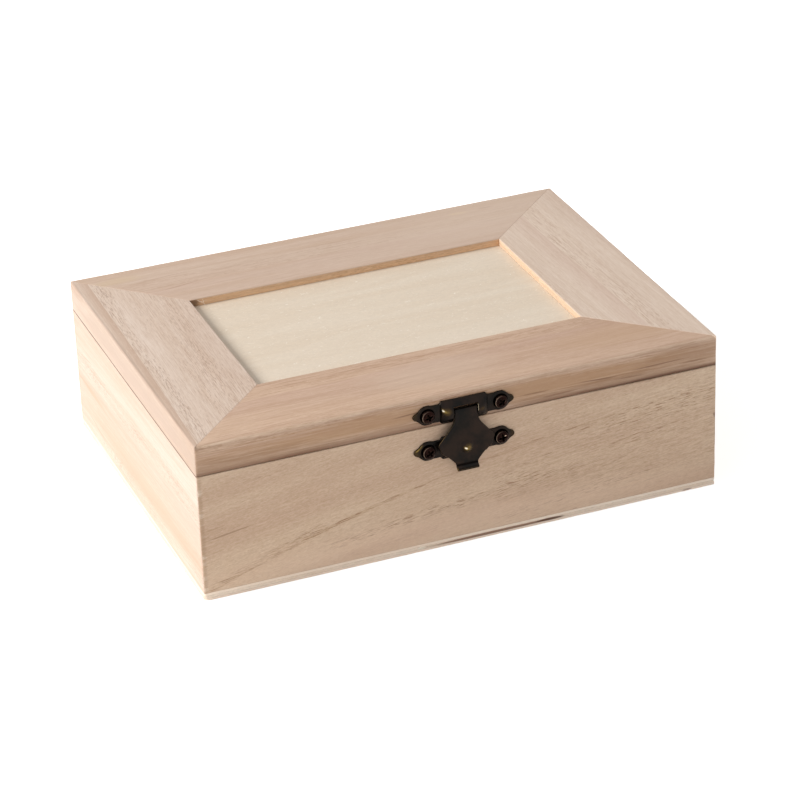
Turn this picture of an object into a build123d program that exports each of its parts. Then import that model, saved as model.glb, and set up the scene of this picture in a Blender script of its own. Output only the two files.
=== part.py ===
"""Photo storage box: mitred walls, a framed lid on two back hinges and a swinging front latch.

Millimetres. X runs along the front from left to right, the front faces -Y and Z is up.
The origin is the middle of the underside.
"""

import os
from math import radians, tan

from build123d import *

os.makedirs("parts", exist_ok=True)

# ---- box ------------------------------------------------------------------
box_width = 200.0
box_depth = 148.0
wall_height = 47.0
wall_thickness = 8.0
bottom_thickness = 3.0
corner_round = 0.8          # upright outer corners, sanded
edge_ease = 0.4             # long edges, sanded

# ---- lid ------------------------------------------------------------------
seam_gap = 0.3              # between the walls and the closed lid
stick_width = 36.0          # one side of the lid's frame, seen from above
stick_thickness = 11.2
lid_round = 2.0             # round-over along the lid's outer top edge
window_lip = 2.9            # wood above the panel
panel_thickness = 3.0
panel_headroom = 0.1        # spare height in the groove
panel_side_play = 0.5       # spare width at the bottom of the groove
groove_depth = 5.0

# ---- hinges ---------------------------------------------------------------
hinge_inset = 38.0          # end of the box to the hinge's middle
hinge_length = 18.0
leaf_height = 8.0           # one leaf, from the seam
leaf_thickness = 0.8
knuckle_radius = 1.6
knuckle_wood_gap = 0.3      # knuckle to the wood behind it
knuckle_turn_gap = 0.25     # knuckle to the other leaf's cut-out
knuckle_end_gap = 0.2       # between neighbouring knuckles
pin_radius = 0.8
pin_play = 0.05             # radial, in the lid's knuckle
hinge_screw_spacing = 10.0
hinge_screw_drop = 5.1      # leaf's edge at the seam to its screws
hinge_screw_radius = 0.9
hinge_screw_head_radius = 1.7
countersink_angle = 90.0
hinge_screw_length = 6.0

# ---- latch plates ---------------------------------------------------------
plate_thickness = 0.8
plate_rise = 4.4            # lid's lower edge to the middle of the lid's plate
plate_spacing = 14.2        # between the middles of the two plates
pad_length = 18.4           # middle part of each plate
pad_height = 8.8
band_height = 6.2           # between the middle part and the screw lobes
lobe_radius = 3.7
nib_radius = 0.8            # pointed end beyond each lobe
nib_reach = 19.4            # plate's middle to its tip
nib_blend = 1.2             # hollow curve from lobe to nib
latch_screw_spacing = 28.0
latch_screw_radius = 1.0
latch_screw_head_radius = 2.3
latch_screw_head_rise = 1.3
latch_screw_head_slope = 0.8  # chamfer round the head's top
latch_screw_length = 7.0    # under the head
plate_hole_play = 0.1       # radial, screw shank in a plate
pilot_spare = 0.3           # blind screw holes, beyond the screw

# ---- latch barrel and catch -----------------------------------------------
cross_bar_radius = 1.0
cross_bar_length = 14.4
cross_bar_play = 0.05       # radial, in the barrel
cross_bar_end_play = 0.4
cross_bar_lift = 1.2        # wood to the swing axis
barrel_wall = 0.95          # metal in front of the cross bar
barrel_end_slope = 0.7      # chamfer at each end
notch_side_play = 0.45      # neck to the sides of the notch
notch_rise = 2.2            # swing axis to the top of the notch
catch_pad_rise = 1.6        # wood to the top of the catch's raised middle
catch_pad_margin = 0.6      # raised middle, inside the plate's middle part
catch_pad_slope = 0.5       # chamfer round the raised middle
catch_bump_radius = 1.3
catch_gap = 0.15            # catch bump to the tongue

# ---- latch tongue ---------------------------------------------------------
tongue_thickness = 0.8
curl_radius = 0.7           # curl from the cross bar to the neck, at mid thickness
neck_width = 8.4
shoulder_width = 21.8
chin_width = 19.8
lip_width = 8.1
neck_drop = 4.4             # the drops are measured down from the swing axis
shoulder_drop = 12.1
chin_drop = 15.7
lip_drop = 20.4
neck_blend = 8.0            # hollow curve from neck to shoulder
shoulder_round = 0.8
chin_hollow = 0.5           # how far the edge from chin to lip is hollowed
lip_radius = 2.0            # curl of the finger lip, at mid thickness
lip_turn = 80.0
dome_radius = 2.1           # snap dome, at its foot
dome_rise = 1.2

# ---- worked out -----------------------------------------------------------
half_depth = box_depth / 2
seam_z = bottom_thickness + wall_height
lid_z = seam_z + seam_gap
box_height = lid_z + stick_thickness
groove_height = panel_thickness + panel_headroom
groove_z = box_height - window_lip - groove_height
window_width = box_width - 2 * stick_width
window_depth = box_depth - 2 * stick_width
panel_reach = groove_depth - panel_side_play

hinge_axis_z = seam_z + seam_gap / 2
hinge_axis_out = knuckle_radius + knuckle_wood_gap
knuckle_pitch = (hinge_length + knuckle_end_gap) / 3
knuckle_length = knuckle_pitch - knuckle_end_gap
hinge_reach = box_width / 2 - hinge_inset
hinge_middles = {"left": -hinge_reach, "right": hinge_reach}
hinge_screw_places = [
    middle + side * hinge_screw_spacing / 2 for middle in hinge_middles.values() for side in (-1, 1)
]
hinge_pilot_depth = hinge_screw_length - leaf_thickness + pilot_spare
countersink_depth = (hinge_screw_head_radius - hinge_screw_radius) / tan(radians(countersink_angle / 2))
wall_leaf_screw_z = seam_z - hinge_screw_drop
lid_leaf_screw_z = lid_z + hinge_screw_drop

latch_axis_z = lid_z + plate_rise
catch_z = latch_axis_z - plate_spacing
latch_screw_x = latch_screw_spacing / 2
latch_pilot_depth = latch_screw_length - plate_thickness + pilot_spare
barrel_reach = cross_bar_lift + cross_bar_radius + cross_bar_play + barrel_wall
tongue_out = cross_bar_lift + 2 * curl_radius
tongue_front = tongue_out + tongue_thickness / 2
bump_reach = tongue_out - tongue_thickness / 2 - catch_gap
neck_top_z = latch_axis_z + curl_radius + tongue_thickness
lip_reach = tongue_out + 2 * lip_radius
dome_ball = (dome_radius**2 + dome_rise**2) / (2 * dome_rise)

sides = {"front": 0, "right": 90, "back": 180, "left": 270}
front_face = Plane.XZ.offset(half_depth)
back_face = Plane.XZ.rotated((0, 0, 180)).offset(half_depth)


def save(piece, name):
    """Label one finished piece and write its STEP file."""
    piece.label = name
    export_step(piece, f"parts/{name}.step")


# ---- screws ---------------------------------------------------------------
with BuildPart() as hinge_screw:
    with BuildSketch(Plane.XZ):
        with BuildLine():
            Polyline(
                (0, 0),
                (hinge_screw_head_radius, 0),
                (hinge_screw_radius, -countersink_depth),
                (hinge_screw_radius, -hinge_screw_length),
                (0, -hinge_screw_length),
                close=True,
            )
        make_face()
    revolve(axis=Axis.Z)

with BuildPart() as latch_screw:
    with BuildSketch(Plane.XZ):
        with BuildLine():
            Polyline(
                (0, latch_screw_head_rise),
                (latch_screw_head_radius - latch_screw_head_slope, latch_screw_head_rise),
                (latch_screw_head_radius, latch_screw_head_rise - latch_screw_head_slope),
                (latch_screw_head_radius, 0),
                (latch_screw_radius, 0),
                (latch_screw_radius, -latch_screw_length),
                (0, -latch_screw_length),
                close=True,
            )
        make_face()
    revolve(axis=Axis.Z)


# ---- walls, bottom and lid frame ------------------------------------------
def mitred_side(turn, width, height, foot_z, top_round, groove):
    """One side of a mitred frame: its section run along the side, then cut at 45 degrees.

    turn is the side's angle about Z, counted from the front.
    """
    length, reach = (box_width, box_depth / 2) if turn % 180 == 0 else (box_depth, box_width / 2)
    with BuildPart() as side:
        with BuildSketch(Plane.YZ.rotated((0, 0, turn))) as section:
            with Locations((-reach, foot_z)):
                Rectangle(width, height, align=(Align.MIN, Align.MIN))
            outer_foot, outer_top = section.vertices().group_by(Axis.X)[0].sort_by(Axis.Y)
            inner_top = section.vertices().group_by(Axis.X)[-1].sort_by(Axis.Y)[-1]
            fillet(outer_top, top_round)
            fillet([outer_foot, inner_top], edge_ease)
            if groove:
                with Locations((-reach + width, groove_z)):
                    Rectangle(groove, groove_height, align=(Align.MAX, Align.MIN), mode=Mode.SUBTRACT)
        extrude(amount=length / 2, both=True)
        with BuildSketch(Plane.XY.rotated((0, 0, turn))):
            with BuildLine():
                Polyline(
                    (-length / 2, -reach),
                    (length / 2, -reach),
                    (length / 2 - width, -reach + width),
                    (-length / 2 + width, -reach + width),
                    close=True,
                )
            make_face()
        extrude(amount=box_height, mode=Mode.INTERSECT)
        with BuildSketch():
            RectangleRounded(box_width, box_depth, corner_round)
        extrude(amount=box_height, mode=Mode.INTERSECT)
    return side.part


def wall(name):
    """One wall of the box, with sharp long edges eased."""
    return mitred_side(sides[name], wall_thickness, wall_height, bottom_thickness, edge_ease, 0)


def stick(name):
    """One stick of the lid's frame, rounded outside and grooved inside for the panel."""
    return mitred_side(sides[name], stick_width, stick_thickness, lid_z, lid_round, groove_depth)


with BuildPart() as front_wall:
    add(wall("front"))
    with Locations(front_face):
        with Locations((-latch_screw_x, catch_z), (latch_screw_x, catch_z)):
            Hole(latch_screw_radius, latch_pilot_depth)
save(front_wall.part, "front_wall")

with BuildPart() as back_wall:
    add(wall("back"))
    with Locations(back_face):
        with Locations(*[(along, wall_leaf_screw_z) for along in hinge_screw_places]):
            Hole(hinge_screw_radius, hinge_pilot_depth)
save(back_wall.part, "back_wall")

with BuildPart() as lid_front_rail:
    add(stick("front"))
    with Locations(front_face):
        with Locations((-latch_screw_x, latch_axis_z), (latch_screw_x, latch_axis_z)):
            Hole(latch_screw_radius, latch_pilot_depth)
save(lid_front_rail.part, "lid_front_rail")

with BuildPart() as lid_back_rail:
    add(stick("back"))
    with Locations(back_face):
        with Locations(*[(along, lid_leaf_screw_z) for along in hinge_screw_places]):
            Hole(hinge_screw_radius, hinge_pilot_depth)
save(lid_back_rail.part, "lid_back_rail")

for hand in ("left", "right"):
    save(wall(hand), f"{hand}_wall")
    save(stick(hand), f"lid_{hand}_stile")

with BuildPart() as bottom_panel:
    with BuildSketch():
        RectangleRounded(box_width, box_depth, corner_round)
    extrude(amount=bottom_thickness)
    chamfer(bottom_panel.faces().sort_by(Axis.Z)[0].edges(), edge_ease)
save(bottom_panel.part, "bottom_panel")

with BuildPart() as lid_panel:
    with BuildSketch(Plane.XY.offset(groove_z)):
        Rectangle(window_width + 2 * panel_reach, window_depth + 2 * panel_reach)
    extrude(amount=panel_thickness)
save(lid_panel.part, "lid_panel")


# ---- hinges ---------------------------------------------------------------
def round_bar(middle, radius, length, mode=Mode.ADD):
    """Round bar on the hinge axis, its middle at x = middle."""
    with BuildSketch(Plane.YZ.offset(middle - length / 2)) as section:
        with Locations((half_depth + hinge_axis_out, hinge_axis_z)):
            Circle(radius)
    extrude(section.sketch, amount=length, mode=mode)


def hinge_leaf(middle, middle_z, screw_z, own_knuckles, other_knuckles, bore_radius):
    """One leaf on the back face, with knuckles at places counted in knuckle pitches from its middle."""
    with BuildPart() as leaf:
        # The back face's own x runs against X.
        with BuildSketch(back_face):
            with Locations((-middle, middle_z)):
                Rectangle(hinge_length, leaf_height)
        extrude(amount=leaf_thickness)
        for place in other_knuckles:
            turning_length = knuckle_length + 2 * knuckle_end_gap
            turning_radius = knuckle_radius + knuckle_turn_gap
            round_bar(middle + place * knuckle_pitch, turning_radius, turning_length, Mode.SUBTRACT)
        for place in own_knuckles:
            round_bar(middle + place * knuckle_pitch, knuckle_radius, knuckle_length)
        round_bar(middle, bore_radius, hinge_length, Mode.SUBTRACT)
        with Locations(back_face.offset(leaf_thickness)):
            holes = [(-middle + side * hinge_screw_spacing / 2, screw_z) for side in (-1, 1)]
            with Locations(*holes):
                CounterSinkHole(
                    hinge_screw_radius, hinge_screw_head_radius, leaf_thickness, countersink_angle
                )
    return leaf.part


for hand, middle in hinge_middles.items():
    wall_leaf = hinge_leaf(middle, seam_z - leaf_height / 2, wall_leaf_screw_z, (-1, 1), (0,), pin_radius)
    save(wall_leaf, f"hinge_{hand}_wall_leaf")
    lid_bore = pin_radius + pin_play
    lid_leaf = hinge_leaf(middle, lid_z + leaf_height / 2, lid_leaf_screw_z, (0,), (-1, 1), lid_bore)
    save(lid_leaf, f"hinge_{hand}_lid_leaf")
    with BuildPart() as hinge_pin:
        round_bar(middle, pin_radius, hinge_length)
    save(hinge_pin.part, f"hinge_{hand}_pin")

with BuildPart(back_face.offset(leaf_thickness)) as hinge_wall_screws:
    with Locations(*[(along, wall_leaf_screw_z) for along in hinge_screw_places]):
        add(hinge_screw.part)
save(hinge_wall_screws.part, "hinge_wall_screws")

with BuildPart(back_face.offset(leaf_thickness)) as hinge_lid_screws:
    with Locations(*[(along, lid_leaf_screw_z) for along in hinge_screw_places]):
        add(hinge_screw.part)
save(hinge_lid_screws.part, "hinge_lid_screws")


# ---- latch plates ---------------------------------------------------------
def latch_plate(middle_z):
    """Pressed plate on the front: a broad middle, two screw lobes and a nib at each end."""
    with BuildPart() as plate:
        with BuildSketch(front_face) as outline:
            with Locations((0, middle_z)):
                Rectangle(latch_screw_spacing, band_height)
                Rectangle(pad_length, pad_height)
                Rectangle(2 * (nib_reach - nib_radius), 2 * nib_radius)
            with Locations((-latch_screw_x, middle_z), (latch_screw_x, middle_z)):
                Circle(lobe_radius)
            nib_roots = outline.vertices().filter_by(
                lambda corner: latch_screw_x < abs(corner.X) < latch_screw_x + lobe_radius
            )
            fillet(nib_roots, nib_blend)
            with Locations((nib_radius - nib_reach, middle_z), (nib_reach - nib_radius, middle_z)):
                Circle(nib_radius)
        extrude(amount=plate_thickness)
        with Locations(front_face):
            with Locations((-latch_screw_x, middle_z), (latch_screw_x, middle_z)):
                Hole(latch_screw_radius + plate_hole_play, plate_thickness)
    return plate.part


with BuildPart() as latch_barrel:
    # Half-round barrel, sloped at both ends.
    with BuildSketch(Plane.YZ.offset(-pad_length / 2)):
        with BuildLine():
            barrel_arc = ThreePointArc(
                (-half_depth, latch_axis_z - pad_height / 2),
                (-half_depth - barrel_reach, latch_axis_z),
                (-half_depth, latch_axis_z + pad_height / 2),
            )
            Line(barrel_arc @ 1, barrel_arc @ 0)
        make_face()
    extrude(amount=pad_length)
    chamfer(latch_barrel.edges().filter_by(GeomType.CIRCLE), barrel_end_slope)
    add(latch_plate(latch_axis_z))
    # Notch that the neck swings in, open below.
    with BuildSketch(front_face):
        with Locations((0, latch_axis_z + notch_rise)):
            Rectangle(neck_width + 2 * notch_side_play, pad_height, align=(Align.CENTER, Align.MAX))
    extrude(amount=barrel_reach, mode=Mode.SUBTRACT)
    # Channel for the cross bar, open to the wood behind.
    channel_length = cross_bar_length + 2 * cross_bar_end_play
    channel_radius = cross_bar_radius + cross_bar_play
    with BuildSketch(Plane.YZ.offset(-channel_length / 2)):
        with Locations((-half_depth - cross_bar_lift, latch_axis_z)):
            Circle(channel_radius)
            Rectangle(cross_bar_lift, 2 * channel_radius, align=(Align.MIN, Align.CENTER))
    extrude(amount=channel_length, mode=Mode.SUBTRACT)
save(latch_barrel.part, "latch_barrel")

with BuildPart() as latch_catch:
    add(latch_plate(catch_z))
    with BuildSketch(front_face):
        with Locations((0, catch_z)):
            Rectangle(pad_length - 2 * catch_pad_margin, pad_height - 2 * catch_pad_margin)
    extrude(amount=catch_pad_rise)
    chamfer(latch_catch.faces().sort_by(Axis.Y)[0].edges(), catch_pad_slope)
    with Locations(front_face.offset(bump_reach - catch_bump_radius)):
        with Locations((0, catch_z)):
            Sphere(catch_bump_radius, arc_size1=0, align=(Align.CENTER, Align.CENTER, Align.MIN))
save(latch_catch.part, "latch_catch")

with BuildPart(front_face.offset(plate_thickness)) as latch_lid_screws:
    with Locations((-latch_screw_x, latch_axis_z), (latch_screw_x, latch_axis_z)):
        add(latch_screw.part)
save(latch_lid_screws.part, "latch_lid_screws")

with BuildPart(front_face.offset(plate_thickness)) as latch_wall_screws:
    with Locations((-latch_screw_x, catch_z), (latch_screw_x, catch_z)):
        add(latch_screw.part)
save(latch_wall_screws.part, "latch_wall_screws")


# ---- latch tongue ---------------------------------------------------------
with BuildPart() as latch_tongue:
    # Bent strip: curl over the cross bar, flat shank, finger lip.
    with BuildSketch(Plane.YZ):
        with BuildLine() as strip:
            curl = CenterArc((-half_depth - cross_bar_lift - curl_radius, latch_axis_z), curl_radius, 0, 180)
            shank = Line(curl @ 1, curl @ 1 - (0, lip_drop))
            JernArc(shank @ 1, shank % 1, lip_radius, -lip_turn)
        trace(strip.line, tongue_thickness)
    extrude(amount=shoulder_width / 2, both=True)
    # Front outline: neck, shoulders, chin and lip.
    with BuildSketch(front_face):
        with BuildLine():
            edge = FilletPolyline(
                (neck_width / 2, neck_top_z),
                (neck_width / 2, latch_axis_z - neck_drop),
                (shoulder_width / 2, latch_axis_z - shoulder_drop),
                (chin_width / 2, latch_axis_z - chin_drop),
                radius=(neck_blend, shoulder_round),
            )
            hollow = SagittaArc(edge @ 1, (lip_width / 2, latch_axis_z - lip_drop), chin_hollow)
            lip_side = Line(hollow @ 1, hollow @ 1 - (0, 2 * lip_radius))
            Line(lip_side @ 1, (0, (lip_side @ 1).Y))
            Line((0, (lip_side @ 1).Y), (0, (edge @ 0).Y))
            Line((0, (edge @ 0).Y), edge @ 0)
        make_face()
        mirror(about=Plane.YZ)
    extrude(amount=lip_reach, mode=Mode.INTERSECT)
    # Cross bar, a loose fit in the barrel.
    with BuildSketch(Plane.YZ.offset(-cross_bar_length / 2)):
        with Locations((-half_depth - cross_bar_lift, latch_axis_z)):
            Circle(cross_bar_radius)
    extrude(amount=cross_bar_length)
    # Snap dome, hollow behind.
    dome_axis = Axis((0, -half_depth, catch_z), (0, 1, 0))
    ball_middle = (-half_depth - tongue_front - dome_rise + dome_ball, catch_z)
    hollow_ball = dome_ball - tongue_thickness
    with BuildSketch(Plane.YZ):
        with Locations(ball_middle):
            Circle(dome_ball)
        with Locations((-half_depth - tongue_front, catch_z)):
            Rectangle(dome_rise, dome_radius, align=(Align.MAX, Align.MIN), mode=Mode.INTERSECT)
    revolve(axis=dome_axis)
    with BuildSketch(Plane.YZ):
        with Locations(ball_middle):
            Circle(hollow_ball)
            Rectangle(2 * hollow_ball, hollow_ball, align=(Align.CENTER, Align.MIN), mode=Mode.INTERSECT)
    revolve(axis=dome_axis, mode=Mode.SUBTRACT)
save(latch_tongue.part, "latch_tongue")
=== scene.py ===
import math
from functools import partial

import bmesh
import bpy
import numpy as np
from mathutils import Matrix


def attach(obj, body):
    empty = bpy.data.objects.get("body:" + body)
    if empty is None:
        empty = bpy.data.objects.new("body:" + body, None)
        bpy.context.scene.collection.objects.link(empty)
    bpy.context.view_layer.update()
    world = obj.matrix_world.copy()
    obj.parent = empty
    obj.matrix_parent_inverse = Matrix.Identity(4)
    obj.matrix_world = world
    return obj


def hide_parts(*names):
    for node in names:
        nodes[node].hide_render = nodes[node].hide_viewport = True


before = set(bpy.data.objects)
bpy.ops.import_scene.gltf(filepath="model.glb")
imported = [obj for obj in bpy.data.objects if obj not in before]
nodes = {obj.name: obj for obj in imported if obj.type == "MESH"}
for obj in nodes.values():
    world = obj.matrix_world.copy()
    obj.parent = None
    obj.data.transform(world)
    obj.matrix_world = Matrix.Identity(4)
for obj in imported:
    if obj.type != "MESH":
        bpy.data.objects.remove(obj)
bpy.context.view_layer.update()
mm = 0.001
bpy.context.scene.view_settings.view_transform = "Standard"
print("frame loaded:", len(nodes), "nodes")

# camera and light

cameraValues = {
    "turn": -20.81,                     # degrees, from straight in front
    "rise": 27.427,
    "roll": -2.154,
    "distance": 1.23754,
    "aim": (0.004414, 0.0, 0.021894),
    "lens": 147.5,                      # for a 36 mm sensor
}


def addObject(name, data):
    # A new object in the scene that shows the data.
    thing = bpy.data.objects.new(name, data)
    bpy.context.scene.collection.objects.link(thing)
    return thing


def direction(turn, rise):
    # The unit vector that a turn about Z from straight in front and a rise give, both in degrees.
    turn, rise = math.radians(turn), math.radians(rise)
    return np.array([math.sin(turn) * math.cos(rise), -math.cos(turn) * math.cos(rise), math.sin(rise)])


def aimCamera(values):
    # Stands off from the aim point by the turn and rise, looks at it, then rolls about the line of sight.
    back = direction(values["turn"], values["rise"])
    roll = math.radians(values["roll"])
    right = np.cross(-back, (0, 0, 1))
    right /= np.linalg.norm(right)
    up = np.cross(right, -back)
    matrix = np.identity(4)
    matrix[:3, 0] = math.cos(roll) * right + math.sin(roll) * up
    matrix[:3, 1] = math.cos(roll) * up - math.sin(roll) * right
    matrix[:3, 2] = back
    matrix[:3, 3] = np.array(values["aim"]) + back * values["distance"]
    data = bpy.data.cameras.new("camera")
    data.lens = values["lens"]
    data.sensor_width = 36
    data.clip_start = 0.01
    camera = addObject("camera", data)
    camera.matrix_world = Matrix(matrix.tolist())
    bpy.context.scene.camera = camera


aimCamera(cameraValues)


def linear(hexText):
    # A screen colour as linear red, green, blue and a full alpha, by the sRGB curve.
    channels = [int(hexText[i:i + 2], 16) / 255 for i in (1, 3, 5)]
    return (*[c / 12.92 if c <= 0.04045 else ((c + 0.055) / 1.055) ** 2.4 for c in channels], 1.0)


def setInputs(node, inputs):
    # Links sockets and sets plain values. The inputs are given in order, or by name or number.
    for key, value in inputs.items() if isinstance(inputs, dict) else enumerate(inputs):
        if isinstance(value, bpy.types.NodeSocket):
            node.id_data.links.new(value, node.inputs[key])
        else:
            node.inputs[key].default_value = value


modeNames = {      # the setting that a kind of node is mostly used with
    "Math": "operation",
    "VectorMath": "operation",
    "MapRange": "interpolation_type",
    "Mix": "data_type",
    "Mapping": "vector_type",
}


def addNode(tree, kind, inputs=(), mode=None, out=0, **settings):
    # Gives back one of the new node's outputs, or all of them where out is None.
    node = tree.nodes.new("ShaderNode" + kind)
    if mode:
        settings[modeNames[kind]] = mode
    for name, value in settings.items():
        setattr(node, name, value)
    setInputs(node, inputs)
    return node.outputs if out is None else node.outputs[out]


lightValues = {
    "keyTurn": -96,          # degrees about Z from straight in front, so the lamp stands on the left
    "keyRise": 33,
    "keyDistance": 1.6,
    "keySize": 0.62,
    "keyPower": 22.2,
    "keyColour": "#FFFCF8",
    "skyStrength": 0.51,
    "skyColour": "#FFFFFF",
    "floorHalf": 4.0,
    "floorColour": "#FAF9F7",
    "floorGlow": 0.14,       # a painted glow: the floor shines a little for every ray and so lights the walls from below
    "floorLift": 0.45,       # extra for the camera alone, so the floor is white outside the soft shadow
}


def lightScene(values):
    # One soft lamp, an even sky, and a white floor at the height the box stands on.
    lamp = bpy.data.lights.new("keyLamp", "AREA")
    lamp.shape = "SQUARE"
    lamp.size = values["keySize"]
    lamp.energy = values["keyPower"]
    lamp.color = linear(values["keyColour"])[:3]
    key = addObject("keyLamp", lamp)
    key.location = values["keyDistance"] * direction(values["keyTurn"], values["keyRise"])
    key.rotation_euler = (math.radians(90 - values["keyRise"]), 0, math.radians(values["keyTurn"]))

    white = (1, 1, 1, 1)
    world = bpy.data.worlds.new("softRoom")
    bpy.context.scene.world = world
    world.use_nodes = True
    world.node_tree.nodes.clear()
    add = partial(addNode, world.node_tree)
    path = add("LightPath", out=None)
    seen = path["Is Camera Ray"]
    for other in ("Is Glossy Ray", "Is Transmission Ray"):
        seen = add("Math", (seen, path[other]), "MAXIMUM")
    lit = add("Background", {"Color": linear(values["skyColour"]), "Strength": values["skyStrength"]})
    plain = add("Background", {"Color": white, "Strength": 1.0})
    add("OutputWorld", {"Surface": add("MixShader", (seen, lit, plain))}, out=None)

    paper = bpy.data.materials.new("mattPaperFloor")
    paper.use_nodes = True
    paper.node_tree.nodes.clear()
    add = partial(addNode, paper.node_tree)
    seen = add("LightPath", out="Is Camera Ray")
    matt = add("BsdfDiffuse", {"Color": linear(values["floorColour"]), "Roughness": 1.0})
    lift = add("Math", (seen, values["floorLift"], values["floorGlow"]), "MULTIPLY_ADD")
    glow = add("Emission", {"Color": white, "Strength": lift})
    add("OutputMaterial", {"Surface": add("AddShader", (matt, glow))}, out=None)
    mesh = bpy.data.meshes.new("floor")
    half = values["floorHalf"]
    corners = [(-half, -half, 0), (half, -half, 0), (half, half, 0), (-half, half, 0)]
    mesh.from_pydata(corners, [], [(0, 1, 2, 3)])
    mesh.materials.append(paper)
    floor = addObject("floor", mesh)


lightScene(lightValues)
print("camera, lamp and floor made")

# meshes from grids of points, in mm


def gridFaces(rows, columns):
    # Quads between neighbouring rows; the last column meets the first.
    row = np.arange(rows - 1)[:, None] * columns
    column = np.arange(columns)[None, :]
    after = (column + 1) % columns
    quads = [row + column, row + after, row + columns + after, row + columns + column]
    return np.stack(quads, axis=-1).reshape(-1, 4).tolist()


def closedLoft(rings, wearAndPaintedLight=0.0):
    # Rings of points joined in order, with one face across the first ring and one across the last.
    # Wear is rub and painted highlight above 0, painted shade and patina below. Picks are the faces'
    # materials.
    rows, columns = rings.shape[:2]
    ends = [list(range(columns)), list(range((rows - 1) * columns, rows * columns))]
    faces = gridFaces(rows, columns) + ends
    return {"points": rings.reshape(-1, 3), "faces": faces, "picks": np.zeros(len(faces), dtype=int),
            "wearAndPaintedLight": np.broadcast_to(wearAndPaintedLight, (rows, columns)).reshape(-1)}


def closeMesh(mesh, source, merge, sharp):
    # Fills the mesh from the source with doubles merged and faces turned outwards, smooth up to an angle.
    work = bmesh.new()
    work.from_mesh(source)
    bmesh.ops.remove_doubles(work, verts=work.verts, dist=merge)
    bmesh.ops.recalc_face_normals(work, faces=work.faces)
    work.to_mesh(mesh)
    work.free()
    mesh.polygons.foreach_set("use_smooth", np.ones(len(mesh.polygons), dtype=bool))
    mesh.set_sharp_from_angle(angle=math.radians(sharp))


def placePiece(name, mesh, body, replaced):
    # Puts a finished mesh into the scene, attaches it to its body and hides the nodes it stands for.
    piece = addObject(name, mesh)
    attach(piece, body)
    if replaced:
        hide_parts(*replaced)
    return piece


def makePiece(name, shells, materials, body, replaced=(), sharp=35):
    # Joins closed shells into one mesh in metres.
    joined = {key: np.concatenate([shell[key] for shell in shells]) for key in ("points", "picks", "wearAndPaintedLight")}
    starts = np.cumsum([0] + [len(shell["points"]) for shell in shells]).tolist()
    faces = [[corner + start for corner in face]
             for shell, start in zip(shells, starts) for face in shell["faces"]]
    mesh = bpy.data.meshes.new(name)
    mesh.from_pydata(joined["points"] * mm, [], faces)
    for material in materials:
        mesh.materials.append(material)
    mesh.polygons.foreach_set("material_index", joined["picks"].astype(np.int32))
    wearAndPaintedLight = mesh.attributes.new("wearAndPaintedLight", "FLOAT", "POINT")
    wearAndPaintedLight.data.foreach_set("value", joined["wearAndPaintedLight"].astype(np.float32))
    closeMesh(mesh, mesh, 2e-6, sharp)
    return placePiece(name, mesh, body, replaced)


def wobble(place, spacing, seed):
    # Smooth noise from -1 to 1 along one length: a random height at every spacing, joined by smoothsteps.
    heights = np.random.default_rng(seed).uniform(-1, 1, 4096)
    scaled = place / spacing + 2048
    cell = np.floor(scaled).astype(int)
    blend = scaled - cell
    blend = blend * blend * (3 - 2 * blend)
    return heights[cell] * (1 - blend) + heights[cell + 1] * blend


def arc(middle, radius, start, end, count):
    # Points on a circle from one angle to another, in degrees.
    angles = np.radians(np.linspace(start, end, count))
    return np.stack([middle[0] + radius * np.cos(angles), middle[1] + radius * np.sin(angles)], axis=-1)


def edgeDrop(distance, radius):
    # How far a rounded edge has fallen at a distance in from it: a quarter circle, nothing past its radius.
    short = radius - np.clip(distance, 0, radius)
    return radius - np.sqrt(radius ** 2 - short ** 2)


def step(value, low, high):
    # 0 below low, 1 above high, a smoothstep between.
    share = np.clip((value - low) / (high - low), 0, 1)
    return share * share * (3 - 2 * share)


def bell(value, spread=1.0):
    # 1 at nothing, falling off on both sides: exp(-(value / spread)^2).
    return np.exp(-(value / spread) ** 2)


# wood


def startMaterial(name):
    # A new material, what adds its nodes, and the place on the object in mm.
    material = bpy.data.materials.new(name)
    material.use_nodes = True
    add = partial(addNode, material.node_tree)
    inMm = add("VectorMath", {0: add("TexCoord", out="Object"), "Scale": 1000.0}, "SCALE")
    return material, add, inMm


def finishMaterial(material, inputs):
    setInputs(material.node_tree.nodes["Principled BSDF"], inputs)
    return material


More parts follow.
